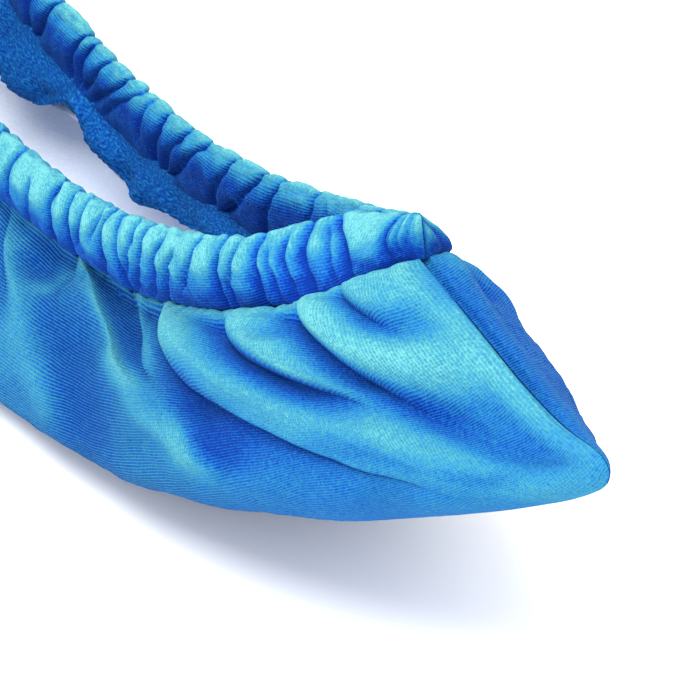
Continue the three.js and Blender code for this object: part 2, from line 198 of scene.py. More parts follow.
# ---- Surface detail ----
SHELL_RATIO = 4  # the hidden side of a shell or lining has steps this many times as long
SHELL_STEPS = (160, 34)  # along and down its hidden side
LINING_STEPS = (100, 24)
LINING_TOP = 0.1  # the v of its upper edge
CASING_STEPS = (900, 64)  # along it and around it
HEM_STEPS = (700, 25)
CLOTH_PER_T = 150  # mm of cloth per unit of t, before the elastic gathers it

# Random waves: height in mm, how many are added up, and the shortest and longest of them in mm.
Waves = namedtuple("Waves", "height count shortest longest")
SHELL_BROAD = Waves(0.22, 9, 16, 36)
SHELL_FINE = Waves(0.05, 12, 4, 9)
SHELL_STREAKS = Waves(0.07, 14, 3.2, 9)
CASING_WAVES = Waves(1, 12, 3, 8)
CASING_PLEATS = Waves(0.45, 10, 1.6, 4)
HEM_FUZZ = Waves(0.1, 24, 0.9, 2.2)
HEM_SWAY = Waves(0.22, 8, 5, 11)

# Fine puckers along the stitch line. Each pair is the least and the most: widths and depths in mm, reach as a share
# of the way down, lean and step in t.
PUCKERS = Sizes(
    end=0.985, width=(0.6, 1.4), depth=(0.2, 0.8), reach=(0.04, 0.12), lean=(-0.01, 0.03), step=(0.02, 0.05), power=1.4,
)
# The cloth swells below the stitch line, more where it puffs out near toe and heel.
PILLOW = Sizes(
    puff_from=0.38, puff_to=0.46, end=0.34, power=0.38, swell=0.3, puff_swell=1.8, groove=0.2, puff_groove=0.4,
    groove_width=0.007,
)
SEAM_ROLL = Sizes(height=0.55, at=0.013, fade_from=0.7, fade_to=0.95)

# Painted light and shade on the velour, from 0 to 1. It is painted paler where it stands out finely or broadly and
# where it faces up, paler with painted sheen where the pile lies the other way, and darker with painted shade under a
# fold. inside: on the hidden side.
PAINTED_SHADING_WEIGHTS = Sizes(fine=0.3, broad=0.42, upward=0.25, nap=0.16, shade=0.75, less=0.05, level=0.48, spread=0.46, inside=0.3)
PAINTED_SHADING_BEHIND = Sizes(start=0.15, end=0.5, level=0.01, spread=0.13)  # towards the heel it varies less
# The toe is painted paler: painted light.
PAINTED_SHADING_TOE = Sizes(start=0.7, end=0.9, level=0.06)
RIB = Sizes(middle=1.25, less=0.6, start=0.4, end=0.7)  # the cloth is stretched smoother over the toe and the heel
CASING_RIB = 0.5

# How a casing is drawn in at its creases. beyond, within: how softly one ends, in shares of the height.
# width, low_width: in mm, the second added towards the bottom of a deep one. faint: how many mm further away a crease
# counts as where it fades out. farthest: the longest distance that counts, in mm.
CREASE_FORM = Sizes(
    wander=0.003, wander_rate=7, wander_start=40, beyond=0.15, within=0.1, width=0.45, low_width=0.5, power=1.5,
    valley_width=1.3, valley_power=1.3, faint=3, farthest=8.0,
)
# The section of a casing: how full it is by the share of its height, and the powers that make it squarish.
CASING_SECTION = Sizes(rise=(0, 0.15, 0.6, 0.85, 1), full=(0.7, 0.75, 1.0, 0.88, 0.6), up_power=0.75, side_power=0.7)
# slack: how much lower the casing stands towards the heel, in mm. full, valley, wave: its swelling,
# its valleys and its waves, in mm. end, end_least: how it closes at its ends.
CASING_FORM = Sizes(
    slack=0.7, slack_from=0.1, slack_to=0.5, wave_slant=6, pleat_slant=0.25, full=0.5, valley=0.52, wave=0.09,
    line=1.2, line_most=0.8, end=0.035, end_least=0.02, taper=0.5, taper_from=-0.86, taper_to=-0.97, flare_to=-0.96,
    flare_power=1.3, top_line=0.5, top_valley=0.45, top_wave=0.14, least_up=0.05,
)
# Painted light and shade on a casing: paler towards the top of its outer side and at the top of its inner side, darker
# in its valleys and crease lines, paler over its waves.
CASING_PAINTED_SHADING = Sizes(valley=0.42, line=0.9, dark=0.04, lit=0.88, wave=0.05, groove=0.2, inner=0.75)

# Where a hem is caught up and hangs lower beyond: in mm, and in t.
HEM_NOTCH = Sizes(lift=3.0, width=0.035, beyond=4.5, start=0.04, end=0.12)
HEM_FORM = Sizes(top=0.02, depth=0.12, tucked=0.85, follows=0.8, wall_share=0.8, slant=2.2)


# ---- Small helpers ----
def smooth(low, high, x):
    """0 below low and 1 above high, with a soft step between."""
    s = np.clip((x - low) / (high - low), 0, 1)
    return s * s * (3 - 2 * s)


def blended_max(layers, power=4):
    """The largest of the layers at each place, rounded where two meet."""
    total = sum(np.maximum(layer, 0) ** power for layer in layers)
    return total ** (1 / power)


def box_blur(field, half_columns, half_rows):
    """field averaged over a window, with its edges repeated outwards."""
    for axis, half in ((0, half_columns), (1, half_rows)):
        pad = [(0, 0), (0, 0)]
        pad[axis] = (half + 1, half)
        total = np.cumsum(np.pad(field, pad, mode="edge"), axis=axis)
        size = field.shape[axis]
        high = np.take(total, np.arange(size) + 2 * half + 1, axis=axis)
        low = np.take(total, np.arange(size), axis=axis)
        field = (high - low) / (2 * half + 1)
    return field


def soft_blur(field, half_columns, half_rows):
    return box_blur(box_blur(field, half_columns, half_rows), half_columns, half_rows)


def unit(vectors):
    return vectors / np.maximum(np.linalg.norm(vectors, axis=-1, keepdims=True), 1e-12)


def ripples(rng, x, y, waves):
    """A smooth random field over places x, y in mm, from waves of random direction."""
    field = 0
    for _ in range(waves.count):
        length = rng.uniform(waves.shortest, waves.longest)
        angle, phase = rng.uniform(0, 2 * math.pi, 2)
        field = field + np.sin((x * math.cos(angle) + y * math.sin(angle)) * 2 * math.pi / length + phase)
    return waves.height * (field / math.sqrt(waves.count / 2))


# ---- Profile lines in the X-Z plane, t from -1 at the heel to 1 at the toe ----
def rim_line(t):
    turn = RIM.half_length * np.abs(t) / RIM.radius
    x = np.sign(t) * RIM.radius * np.sin(turn)
    return np.stack([x, RIM.height - KEEL.settle + RIM.radius * (1 - np.cos(turn))], -1)


def keel_line(t, inset=0):
    along = KEEL.half_length * np.abs(t)
    turn = np.maximum(along - KEEL.flat, 0) / KEEL.radius
    radius = KEEL.radius - inset
    x = np.sign(t) * (np.minimum(along, KEEL.flat) + radius * np.sin(turn))
    drop = KEEL.settle + KEEL.tip_drop * smooth(KEEL.drop_from, 1, np.abs(t))
    return np.stack([x, KEEL.radius - radius * np.cos(turn) - drop], -1)


def casing_up(t):
    return unit(rim_line(t) - keel_line(t))


def casing_height(t):
    place = np.abs(t)
    return CASING.height + SAG.depth * smooth(SAG.start, SAG.full, place) * (1 - smooth(SAG.end, SAG.gone, place))


def stitch_line(t):
    return rim_line(t) - casing_up(t) * casing_height(t)[..., None]


def mouth_half_width(t):
    return (RIM.half_width - RIM.end_width) * (1 - np.abs(t) ** RIM.squareness) + RIM.end_width


def body_half_width(t):
    return BODY.half_width * np.maximum(1 - np.abs(t) ** BODY.fullness, 0) ** BODY.bluntness


# ---- The right half of the body, v from 0 at the stitch line to 1 at the keel ----
def body_points(t, v, inset=0):
    t, v = np.broadcast_arrays(t, v)
    near_end = smooth(SECTION_CHANGE.start, SECTION_CHANGE.end, np.abs(t))

    def part(key):
        return getattr(MIDDLE, key) + (getattr(ENDS, key) - getattr(MIDDLE, key)) * near_end

    down = smooth(TIP_ROUND.down_from, 1, v) ** TIP_ROUND.power
    rounding = TIP_ROUND.share * down * smooth(TIP_ROUND.along_from, 1, np.abs(t))
    from_seam = (1 - np.abs(t)) * KEEL.half_length
    groove = SEAM_GROOVE.depth / KEEL.half_length * (1 - smooth(0, SEAM_GROOVE.lip, from_seam))
    groove = groove * (1 - smooth(SEAM_GROOVE.fade_from, SEAM_GROOVE.fade_to, v))
    nose = NOSE.swell / KEEL.half_length * np.exp(-(((v - NOSE.at) / NOSE.spread) ** 2))
    nose = nose * smooth(NOSE.along_from, 1, np.abs(t))
    pulled = t * (1 - END_PULL * inset - rounding - groove + nose)
    top = stitch_line(pulled) - casing_up(pulled) * inset
    q = top + (keel_line(pulled, inset) - top) * v[..., None]
    q[..., 1] -= NOSE.drop * v * smooth(NOSE.drop_from, 1, np.abs(t))
    from_corner = np.hypot(from_seam, (1 - v) * BODY.height)
    corner = CORNER.depth * np.clip(1 - from_corner / CORNER.reach, 0, 1) ** 2
    q[..., 0] += np.sign(t) * CORNER.pull[0] * corner
    q[..., 1] += CORNER.pull[1] * corner
    closing = np.sqrt(np.clip((1 - np.abs(t)) / BODY.end_close, 0, 1))
    narrow = mouth_half_width(t) * closing - part("lean") * inset
    wide = body_half_width(t) * (1 - inset / BODY.half_width)
    above = 1 - np.minimum(v / part("shoulder"), 1)
    below = np.maximum(v - part("shoulder"), 0) / (1 - part("shoulder"))
    shoulder = narrow + (wide - narrow) * np.maximum(1 - above**2, 0) ** part("swell")
    y = -shoulder * np.sqrt(np.maximum(1 - below ** part("bottom"), 0))
    return np.stack([q[..., 0], y, q[..., 1]], -1)


def body_frame(t, v):
    """The directions out of the cloth and along it towards the toe."""
    step = 0.01
    at = np.clip(t, -1 + 3 * step, 1 - 3 * step)
    down = np.clip(v, 2 * step, 1 - 3 * step)
    along_t = unit(body_points(at + step, down) - body_points(at - step, down))
    along_v = body_points(at, down + step) - body_points(at, down - step)
    return unit(np.cross(along_v, along_t)), along_t


def sweep_side(u):
    """-1 where the folds sweep towards the heel, 1 where they sweep towards the toe."""
    return 2 * smooth(SWEEP.heelwards, SWEEP.toewards, u) - 1


def swept_place(u, v, power=0.75):
    return u + (1 - np.abs(u)) * SWEEP.share * sweep_side(u) * v**power


def fold_path(fold, v):
    """Where a fold lies at each v."""
    side = np.sign(sweep_side(fold.at))
    return swept_place(fold.at, v, fold.power) + side * (fold.drift * v + fold.bend * v**2)


def length_per_t(v):
    """Millimetres of cloth per unit of t."""
    return RIM.half_length + (KEEL.half_length - RIM.half_length) * v


def across_fold(fold, t, v):
    """The distance in mm from a fold's line, positive on the side that it sweeps towards."""
    above = np.maximum(v - 0.01, 0)
    slant = (fold_path(fold, v + 0.01) - fold_path(fold, above)) / (v + 0.01 - above)
    side = np.sign(sweep_side(fold.at))
    return (t - fold_path(fold, v)) * side * length_per_t(v) / np.hypot(1, slant * length_per_t(v) / BODY.height)


def main_folds(t, v):
    """How far the cloth sinks into its folds and leans along the panel, in mm, and how much painted shade it takes
    under them.
    """
    depths, lean, shade = [], 0, np.zeros(np.shape(t))
    for fold in FOLDS:
        mm = across_fold(fold, t, v)
        behind = np.clip(-mm / (fold.behind * (1 + SWEEP.behind_growth * v)), 0, 1)
        ahead = np.clip(mm / (fold.ahead * (1 + SWEEP.ahead_growth * v)), 0, 1)
        wide_ahead = np.clip(mm / (2.2 * fold.ahead * (1 + SWEEP.ahead_growth * v)), 0, 1)
        soft = smooth(0.6 * fold.sharp, 1.3 * fold.sharp + 0.06, v)
        steep = np.where(mm > 0, 1 - np.sqrt(1 - (1 - ahead) ** 2), (1 - behind) ** 1.7)
        gentle = 1 - smooth(0, 1, np.where(mm > 0, wide_ahead, behind))
        fade = smooth(0, 0.035, v) * (1 - smooth(0.35, 1, v / fold.reach))
        depths.append(fold.depth * (steep + (gentle - steep) * soft) * fade)
        crest = np.exp(-(((mm / (fold.ahead * (1 + v)) - 0.8) / 0.7) ** 2))
        lean = lean - np.sign(sweep_side(fold.at)) * fold.roll * crest * fade * (1 - soft)
        # Painted shade below each fold, deepest for deep folds.
        below = np.exp(-((np.where(mm > 0, 3.5 * mm, -mm) / (PAINTED_FOLD_SHADE.width * (1 + PAINTED_FOLD_SHADE.growth * v))) ** 1.6))
        shade = np.maximum(shade, below * fade * fold.depth / PAINTED_FOLD_SHADE.full_depth)
    edges = smooth(0, 0.03, 1 - np.abs(t)) * (1 - smooth(0.85, 0.98, v))
    return blended_max(depths, 5) * edges, lean * edges, shade * edges * (1 - smooth(0.3, 0.8, v))


def hollows(t, v):
    """How far the cloth sinks between pairs of crests, in mm."""
    layers = []
    for hollow in HOLLOWS:
        left = swept_place(hollow.left, v, 1.0) + hollow.left_drift * v
        right = swept_place(hollow.right, v, 1.0) + hollow.right_drift * v
        across = np.clip((2 * t - left - right) / np.maximum(right - left, 0.01), -1, 1)
        fade = smooth(-0.02, 0.03, v) * (1 - smooth(0.45, 1, v / hollow.reach))
        layers.append(hollow.depth * (1 - across**4) * fade)
    return np.maximum.reduce(layers)


def dents(t, v):
    """How far the cloth sinks into its dents, in mm."""
    total = 0
    for dent in DENTS:
        x = (t - dent.t - dent.tilt * (v - dent.v) / 0.1) * length_per_t(v) / dent.along
        y = (v - dent.v) * BODY.height / dent.down
        total = total + dent.depth * np.clip(1 - x**2 - y**2, 0, 1) ** 1.5
    return total


def bands(t, v):
    """How far the soft bands stand out, in mm, and how much paler their pile looks."""
    height, tone = 0, 0
    for band in BANDS:
        path = np.poly1d(np.polyfit(np.linspace(band.low, band.high, 4), band.places, 3))
        inside = np.clip(v, band.low, band.high)
        mm = (t - path(inside)) * length_per_t(v)
        mm = mm / np.hypot(1, path.deriv()(inside) * length_per_t(v) / BODY.height)
        margin = 0.25 * (band.high - band.low)
        shape = np.exp(-((mm / np.where(mm > 0, band.right, band.left)) ** 2))
        shape = shape * smooth(band.low - margin, band.low + margin, v)
        shape = shape * (1 - smooth(band.high - margin, band.high + margin, v))
        height = height + band.height * shape
        tone = tone + band.tone * shape
    return height * smooth(0, 0.03, v), tone


def small_gathers(rng, t, v):
    """Fine puckers that the elastic draws along the stitch line."""
    field, at = 0, -PUCKERS.end
    while at < PUCKERS.end:
        width = rng.uniform(*PUCKERS.width)
        depth = rng.uniform(*PUCKERS.depth)
        reach = rng.uniform(*PUCKERS.reach)
        lean = rng.uniform(*PUCKERS.lean)
        mm = (t - at - lean * v / reach) * length_per_t(v)
        pucker = depth * np.exp(-np.abs(mm / width) ** PUCKERS.power) * (1 - smooth(0.2, 1, v / reach))
        field = np.maximum(field, pucker)
        at += rng.uniform(*PUCKERS.step)
    return field


def pillow(t, v):
    """The cloth swells as it leaves the stitch line, most near toe and heel, where it is gathered least."""
    puffs = smooth(PILLOW.puff_from, PILLOW.puff_to, np.abs(t))
    swell = np.sin(np.pi * np.clip(v / PILLOW.end, 0, 1) ** PILLOW.power)
    groove = np.exp(-v / PILLOW.groove_width)
    raised = (PILLOW.swell + PILLOW.puff_swell * puffs) * swell
    return raised - (PILLOW.groove + PILLOW.puff_groove * puffs) * groove


def seam_roll(t, v):
    """The cloth rolls over beside the toe and heel seams."""
    roll = SEAM_ROLL.height * np.exp(-(((1 - np.abs(t)) / SEAM_ROLL.at - 1) ** 2))
    return roll * (1 - smooth(SEAM_ROLL.fade_from, SEAM_ROLL.fade_to, v))


def shell_grid(t, v, u, seed):
    """The outer surface of a shell panel, how far each place stands out, and the same without its small waves, in mm.

    u is the place on the stitch line that each place's fold direction comes from.
    """
    rng = np.random.default_rng(seed)
    normal, along = body_frame(t, v)
    sunk, lean, _ = main_folds(t, v)
    x_mm = t * length_per_t(v)
    waves = ripples(rng, x_mm, v * BODY.height, SHELL_BROAD) * smooth(0, 0.15, v)
    waves = waves + ripples(rng, x_mm, v * BODY.height, SHELL_FINE) * smooth(0.05, 0.2, v)
    streaks = ripples(rng, u * RIM.half_length * 1.4, v * BODY.height * 0.16, SHELL_STREAKS)
    waves = waves + streaks * smooth(0.02, 0.12, v) * (1 - smooth(0.5, 0.95, v))
    ends = smooth(0, 0.03, 1 - np.abs(t)) * (1 - smooth(0.9, 1, v))
    sunk = blended_max([sunk, hollows(t, v)]) + dents(t, v)
    relief = (pillow(t, v) - small_gathers(rng, t, v) + bands(t, v)[0]) * ends - sunk + seam_roll(t, v)
    height = relief + waves * ends
    points = body_points(t, v) + normal * height[..., None] + along * lean[..., None]
    points[..., 1] = np.minimum(points[..., 1], -SEAM_GAP)
    points[..., 2] = np.maximum(points[..., 2], 0)
    return points, height, relief


def painted_sheen_turn(t, v):
    """Painted sheen where the pile lies the other way: paler beyond the long fold towards the toe, darker behind it,
    from -1 to 1.
    """
    beyond = smooth(-1, 3, across_fold(LONG_FOLD, t, v)) * smooth(-0.2, 0.2, t)
    return 2 * beyond - 1


def lining_grid(t, v, inset, sunk):
    normal, _ = body_frame(t, v)
    points = body_points(t, v, inset) - normal * sunk[..., None]
    points[..., 1] = np.minimum(points[..., 1], -SEAM_GAP)
    points[..., 2] = np.maximum(points[..., 2], inset)
    return points


# ---- Meshes ----
def volume_of(points, faces):
    total = 0.0
    for face in faces:
        face = np.asarray(face)
        for k in range(1, face.shape[-1] - 1):
            a, b, c = points[face[..., 0]], points[face[..., k]], points[face[..., k + 1]]
            total += float((a * np.cross(b, c)).sum()) / 6
    return total


def make_piece(name, points, face_groups, turned, attributes=None, uv=None):
    """A mesh object from points in mm and groups of faces, each an array of the same number of corners.

    Faces are turned so that they all point out of the closed shape. turned gives the left half.
    """
    if volume_of(points, face_groups) < 0:
        face_groups = [group[:, ::-1] for group in face_groups]
    sign = -1 if turned else 1
    points = points * np.array([sign * MM, sign * MM, MM])
    mesh = bpy.data.meshes.new(name)
    faces = [face for group in face_groups for face in group.tolist()]
    mesh.from_pydata(points.tolist(), [], faces)
    for key, values in (attributes or {}).items():
        layer = mesh.attributes.new(key, "FLOAT", "POINT")
        layer.data.foreach_set("value", np.ascontiguousarray(values, np.float32))
    if uv is not None:
        corners = np.zeros(len(mesh.loops), np.int32)
        mesh.loops.foreach_get("vertex_index", corners)
        layer = mesh.uv_layers.new(name="cloth_mm")
        layer.data.foreach_set("uv", np.ascontiguousarray(uv[corners], np.float32).ravel())
    mesh.shade_smooth()
    mesh.set_sharp_from_angle(angle=math.radians(75))
    piece = bpy.data.objects.new(name, mesh)
    bpy.context.scene.collection.objects.link(piece)
    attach(piece, "root")
    return piece


def grid_quads(columns, rows, start=0):
    i, j = np.meshgrid(np.arange(columns - 1), np.arange(rows - 1), indexing="ij")
    a = (start + i * rows + j).ravel()
    return np.stack([a, a + 1, a + rows + 1, a + rows], -1)


def stitched_wall(outer, inner, ratio):
    """Points and faces of a wall between a fine grid and a coarse one whose steps are ratio times as long."""
    columns, rows = outer.shape[:2]
    coarse_columns, coarse_rows = inner.shape[:2]
    start = columns * rows
    points = np.concatenate([outer.reshape(-1, 3), inner.reshape(-1, 3)])
    fine = np.arange(start).reshape(columns, rows)
    coarse = start + np.arange(coarse_columns * coarse_rows).reshape(coarse_columns, coarse_rows)
    rims = []
    for fine_line, coarse_line, flip in (
        (fine[:, 0], coarse[:, 0], False),
        (fine[:, -1], coarse[:, -1], True),
        (fine[0], coarse[0], True),
        (fine[-1], coarse[-1], False),
    ):
        for k in range(len(coarse_line) - 1):
            along = fine_line[k * ratio : (k + 1) * ratio + 1]
            face = np.concatenate([along, coarse_line[[k + 1, k]]])
            rims.append(face[::-1] if flip else face)
    inner_quads = grid_quads(coarse_columns, coarse_rows, start)[:, ::-1]
    return points, [grid_quads(columns, rows), inner_quads, np.array(rims)]


def down_the_cloth(t, v):
    """The distance in mm over the body from the stitch line straight down to each place."""
    stations, levels = 161, 81
    grid = body_points(np.linspace(-1, 1, stations)[:, None], np.linspace(0, 1, levels)[None, :])
    steps = np.linalg.norm(np.diff(grid, axis=1), axis=-1)
    lengths = np.pad(np.cumsum(steps, axis=1), ((0, 0), (1, 0)))
    across = (t + 1) / 2 * (stations - 1)
    down = v * (levels - 1)
    i = np.clip(across.astype(int), 0, stations - 2)
    j = np.clip(down.astype(int), 0, levels - 2)
    a, d = across - i, down - j
    upper = lengths[i, j] * (1 - a) + lengths[i + 1, j] * a
    lower = lengths[i, j + 1] * (1 - a) + lengths[i + 1, j + 1] * a
    return upper * (1 - d) + lower * d


# ---- Pieces ----
def panel_parameters(steps):
    """Places t, v and fold directions u over a panel.

    Its columns run down the folds and are closest beside the end seams, and its rows are closer at the top.
    """
    columns, rows = steps
    w = np.linspace(-1, 1, SHELL_RATIO * columns + 1)
    s = np.linspace(0, 1, SHELL_RATIO * rows + 1)
    u = (w * (1.07 - 0.07 * np.abs(w) ** 12))[:, None]
    v = (0.6 * s + 0.4 * s**2)[None, :]
    return np.broadcast_arrays(swept_place(u, v), v, u)


def shell_panel(side, turned, seed):
    t, v, u = panel_parameters(SHELL_STEPS)
    outer, height, relief = shell_grid(t, v, u, seed)
    step = slice(None, None, SHELL_RATIO)
    sunk = np.maximum(-height, 0)
    sunk = soft_blur(np.maximum(sunk, soft_blur(sunk, 5, 5)), 3, 3)[step, step]
    inner = lining_grid(t[step, step], v[step, step], SHELL_WALL, sunk)
    points, faces = stitched_wall(outer, inner, SHELL_RATIO)
    # Painted light and shade: paler where the relief stands out and where the plain surface faces up, painted sheen
    # beyond the long fold, painted shade under the folds, and the bands' painted light and shade.
    fine = relief - soft_blur(relief, 7, 5)
    broad = relief - soft_blur(relief, 30, 20)
    plain, _ = body_frame(t, v)
    _, _, shade = main_folds(t, v)
    shading_terms = PAINTED_SHADING_WEIGHTS.fine * fine + PAINTED_SHADING_WEIGHTS.broad * broad + PAINTED_SHADING_WEIGHTS.upward * plain[..., 2]
    shading_terms = shading_terms + PAINTED_SHADING_WEIGHTS.nap * painted_sheen_turn(t, v) - PAINTED_SHADING_WEIGHTS.shade * shade
    behind = 1 - smooth(PAINTED_SHADING_BEHIND.start, PAINTED_SHADING_BEHIND.end, t)
    level = PAINTED_SHADING_WEIGHTS.level + PAINTED_SHADING_BEHIND.level * behind + PAINTED_SHADING_TOE.level * smooth(PAINTED_SHADING_TOE.start, PAINTED_SHADING_TOE.end, t)
    painted_shading = level + (PAINTED_SHADING_WEIGHTS.spread - PAINTED_SHADING_BEHIND.spread * behind) * np.tanh(shading_terms + bands(t, v)[1] - PAINTED_SHADING_WEIGHTS.less)
    uv = np.stack([t * CLOTH_PER_T, down_the_cloth(t, v)], -1).reshape(-1, 2)
    inside = len(points) - len(uv)
    uv = np.concatenate([uv, np.zeros((inside, 2))])
    painted_shading = np.concatenate([painted_shading.ravel(), np.full(inside, PAINTED_SHADING_WEIGHTS.inside)])
    rib = RIB.middle - RIB.less * smooth(RIB.start, RIB.end, np.abs(t))
    rib = np.concatenate([np.broadcast_to(rib, outer.shape[:2]).ravel(), np.ones(inside)])
    piece = make_piece(f"{side}_shell", points, faces, turned, {"painted_shading": painted_shading, "rib": rib}, uv)
    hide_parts(f"{side}_shell_panel")
    return piece


def terry_lining(side, turned):
    t, v, _ = panel_parameters(LINING_STEPS)
    v = LINING_TOP + (1 - LINING_TOP) * v
    sunk = blended_max([main_folds(t, v)[0], hollows(t, v)]) + np.maximum(dents(t, v), 0)
    sunk = sunk + np.maximum(-bands(t, v)[0], 0)
    for _ in range(2):
        sunk = np.maximum(sunk, soft_blur(sunk, 5, 4))
    sunk = soft_blur(sunk, 3, 3)
    outside = SHELL_WALL + LINING_CLEARANCE
    inner = lining_grid(t, v, outside + LINING_WALL, sunk)
    step = slice(None, None, SHELL_RATIO)
    outer = lining_grid(t[step, step], v[step, step], outside, sunk[step, step])
    points, faces = stitched_wall(inner, outer, SHELL_RATIO)
    piece = make_piece(f"{side}_terry", points, faces, turned)
    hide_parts(f"{side}_terry_lining")
    return piece


def rim_frame(t, out, up):
    """A point of a casing or hem: out is measured across the wall, away from the mouth, and up from the stitches."""
    t, out, up = np.broadcast_arrays(t, out, up)
    bend = smooth(CASING_END.bend_from, CASING_END.bend_to, np.abs(t))
    upright = np.stack([np.sign(t) * CASING_END.up[0], np.full(t.shape, CASING_END.up[1])], -1)
    rise = casing_up(t) + (upright - casing_up(t)) * bend[..., None]
    rounded = 1 - CASING_END.rounding * (1 - np.sqrt(np.clip((1 - np.abs(t)) / CASING_END.round_share, 0, 1)))
    height = up * (casing_height(t) / CASING.height + (CASING_END.height / CASING.height - 1) * bend) * rounded
    q = stitch_line(t) + unit(rise) * height[..., None]
    half = mouth_half_width(t) - RIM.end_width * smooth(RIM.closing, 1, np.abs(t))
    meeting = CASING_END.meeting * smooth(CASING_END.meet_from, CASING_END.meet_to, np.abs(t))
    half = half * (1 - meeting * np.clip(up / CASING.height, 0, 1) ** 0.7) + out
    return np.stack([q[..., 0], -np.maximum(half, SEAM_GAP), q[..., 1]], -1)


def crease_field(creases, t, rise):
    """How far a casing is drawn in: narrow lines at its creases, 0 to 1, and the valleys between its bulges."""
    form = CREASE_FORM
    lines, nearest = 0, np.full(np.broadcast_shapes(t.shape, rise.shape), form.farthest)
    for crease in creases:
        wander = form.wander * np.sin(form.wander_rate * rise + form.wander_start * crease.at)
        mm = np.abs(t - crease.at - crease.lean * (rise - 0.5) - wander) * RIM.half_length
        span = smooth(crease.low - form.beyond, crease.low + form.within, rise)
        span = span * (1 - smooth(crease.high - form.within, crease.high + form.beyond, rise))
        width = form.width + form.low_width * crease.depth * (1 - rise) * span
        lines = np.maximum(lines, crease.depth * span * np.exp(-((mm / width) ** form.power)))
        nearest = np.minimum(nearest, mm + form.faint * (1 - span * crease.depth))
    return lines, np.exp(-((nearest / form.valley_width) ** form.valley_power))


def elastic_casing(side, turned, creases, seed):
    form, section = CASING_FORM, CASING_SECTION
    rng = np.random.default_rng(seed)
    stations, around = CASING_STEPS
    t = np.linspace(-1, 1, stations)[:, None]
    turn = np.linspace(0, 2 * math.pi, around, endpoint=False)[None, :]
    rise = 0.5 - 0.5 * np.sign(np.cos(turn)) * np.abs(np.cos(turn)) ** section.up_power
    side_way = np.sign(np.sin(turn)) * np.abs(np.sin(turn)) ** section.side_power
    lines, valleys = crease_field(creases, t, rise)
    drop = form.slack * (1 - smooth(form.slack_from, form.slack_to, t if not turned else -t))
    x_mm = t * RIM.half_length
    around_mm = rise * CASING.height + form.wave_slant * side_way
    waves = ripples(rng, x_mm + 0 * turn, around_mm, CASING_WAVES)
    pleats = ripples(rng, x_mm + 0 * turn, form.pleat_slant * around_mm, CASING_PLEATS)
    waves = waves + pleats
    full = np.interp(rise, section.rise, section.full)
    thick = np.where(side_way > 0, CASING.outside, CASING.inside)
    ends = np.sqrt(np.clip((1 - np.abs(t)) / form.end, form.end_least, 1))
    taper = 1 - form.taper * rise * smooth(form.taper_from, form.taper_to, t)
    out = side_way * (thick * full + form.full - form.valley * valleys + form.wave * waves) * ends * taper
    out = out - np.sign(side_way) * np.minimum(form.line * lines * ends, form.line_most * np.abs(out))
    flare = CASING_END.flare * np.maximum(side_way, 0) * (1 - rise) ** form.flare_power
    out = out + flare * smooth(form.taper_from, form.flare_to, t) * np.sqrt(ends)
    creased = form.top_line * lines + form.top_valley * valleys - form.top_wave * waves
    up = (CASING.height - drop) * rise - creased * smooth(0.5, 1, rise)
    points = rim_frame(t, out, np.maximum(up, form.least_up))
    quads = grid_quads(stations, around + 1)
    columns, rows = np.divmod(quads, around + 1)
    quads = columns * around + rows % around
    ring = np.arange(around)
    caps = np.stack([ring[::-1], ring + (stations - 1) * around])
    uv = np.stack([x_mm + 0 * turn, rise * CASING.height + 0 * t], -1).reshape(-1, 2)
    # Painted light and shade: lit towards the top of the outer side, the inner side only near its top, and painted
    # shade in the valleys and crease lines.
    outward = smooth(-0.7, 0.4, side_way)
    casing_shading = CASING_PAINTED_SHADING
    lit = smooth(0.05, 0.8, rise) * outward + casing_shading.inner * smooth(0.6, 1.0, rise) * (1 - outward)
    painted_shading = (1 - casing_shading.valley * valleys) * (1 - casing_shading.line * lines) * (casing_shading.dark + casing_shading.lit * lit)
    painted_shading = painted_shading + casing_shading.wave * waves - casing_shading.groove * lines
    piece = make_piece(
        f"{side}_casing",
        points.reshape(-1, 3),
        [quads, caps],
        turned,
        {"painted_shading": painted_shading.ravel(), "rib": np.full(painted_shading.size, CASING_RIB)},
        uv,
    )
    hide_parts(f"{side}_elastic_casing")
    return piece


def hem_drop(t, notch):
    """How far the hem hangs below the stitch line, in mm. notch: where it is caught up, or None."""
    drop = HEM.drop + sum(height * np.sin(rate * t + start) for height, rate, start in HEM_WAVES)
    if notch is not None:
        drop = drop - HEM_NOTCH.lift * np.exp(-(((t - notch) / HEM_NOTCH.width) ** 2))
        drop = drop + HEM_NOTCH.beyond * smooth(notch + HEM_NOTCH.start, notch + HEM_NOTCH.end, t)
    return drop


def turned_hem(side, turned, seed, notch):
    rng = np.random.default_rng(seed)
    columns, rows = HEM_STEPS
    t = HEM.half_length * np.linspace(-1, 1, columns)[:, None]
    s = np.linspace(0, 1, rows)[None, :]
    drop = hem_drop(t, notch)
    x_mm, down_mm = t * RIM.half_length + 0 * s, s * drop
    fuzz = ripples(rng, x_mm, HEM_FORM.slant * down_mm, HEM_FUZZ) + ripples(rng, x_mm, down_mm, HEM_SWAY)
    v = np.broadcast_to(HEM_FORM.top + HEM_FORM.depth * s, x_mm.shape)
    full_t = np.broadcast_to(t, x_mm.shape)
    sunk = blended_max([main_folds(full_t, v)[0], hollows(full_t, v)]) + np.maximum(dents(full_t, v), 0)
    tucked = smooth(0, HEM_FORM.tucked, s)
    out = -HEM.offset + HEM.flare * s - HEM_FORM.follows * soft_blur(sunk, 6, 3) * tucked
    up = HEM.tuck - s * (drop + HEM.tuck)
    outer = rim_frame(t, out + fuzz * tucked, up)
    inner = rim_frame(t, out - HEM.wall * HEM_FORM.wall_share + fuzz * tucked, up)
    points, faces = stitched_wall(outer, inner, 1)
    uv = np.stack([x_mm, down_mm], -1).reshape(-1, 2)
    piece = make_piece(f"{side}_hem", points, faces, turned, uv=np.concatenate([uv, uv]))
    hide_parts(f"{side}_turned_hem")
    return piece


